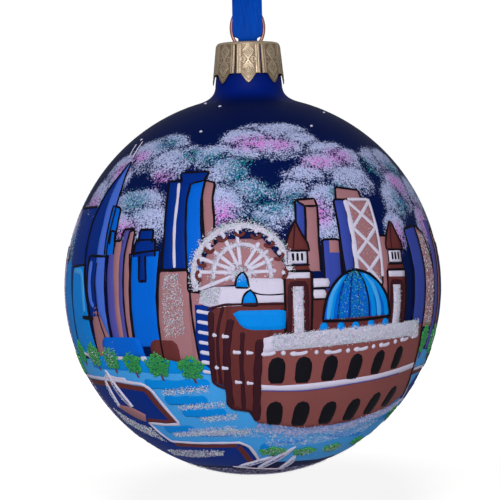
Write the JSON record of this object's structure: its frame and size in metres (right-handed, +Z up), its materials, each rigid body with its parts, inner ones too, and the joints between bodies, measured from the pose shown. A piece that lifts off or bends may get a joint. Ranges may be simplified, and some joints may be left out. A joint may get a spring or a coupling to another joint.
{
  "type": "souvenir glass ball christmas ornament",
  "caption": "Hand-painted blown-glass ball with a pressed crown cap, a spring-wire ring and a knotted satin ribbon loop, for hanging on a tree.",
  "frame": {"origin": "the hanging point: the inside of the top of the ribbon loop, just under its knot; the ornament hangs below it", "axes": "+Z up along the ornament's axis, -Y towards the front, +X to the viewer's right"},
  "size_m": [0.1, 0.1, 0.1953],
  "materials": {
    "lacquered_glass": "blown glass under an opaque frosted navy lacquer, painted in raised enamel and glitter",
    "gold_tin": "satin champagne gold",
    "copper_wire": "coppered spring wire",
    "blue_satin": "satin"
  },
  "bodies": {
    "ribbon": {"ribbon_upper": "blue_satin", "ribbon_knot": "blue_satin"},
    "bight": {"ribbon_lower": "blue_satin"},
    "hanger": {"hanger_wire": "copper_wire"},
    "cap": {"crown_cap": "gold_tin"},
    "ball": {"glass_ball": "lacquered_glass"}
  },
  "joints": [
    {"name": "ribbon_swing", "type": "hinge", "parent": "ribbon", "child": "bight", "pos_m": [0, 0, -0.0518], "axis": [1, 0, 0], "range_deg": [-60, 60]},
    {"name": "ring_tilt", "type": "hinge", "parent": "bight", "child": "hanger", "pos_m": [0, 0, -0.0602], "axis": [0, 1, 0], "range_deg": [-7, 7]},
    {"name": "ring_draw", "type": "slide", "parent": "hanger", "child": "cap", "axis": [0, 0, 1], "range_m": [-0.0025, 0]},
    {"name": "ball_pull", "type": "slide", "parent": "cap", "child": "ball", "axis": [0, 0, 1], "range_m": [-0.024, 0]}
  ]
}
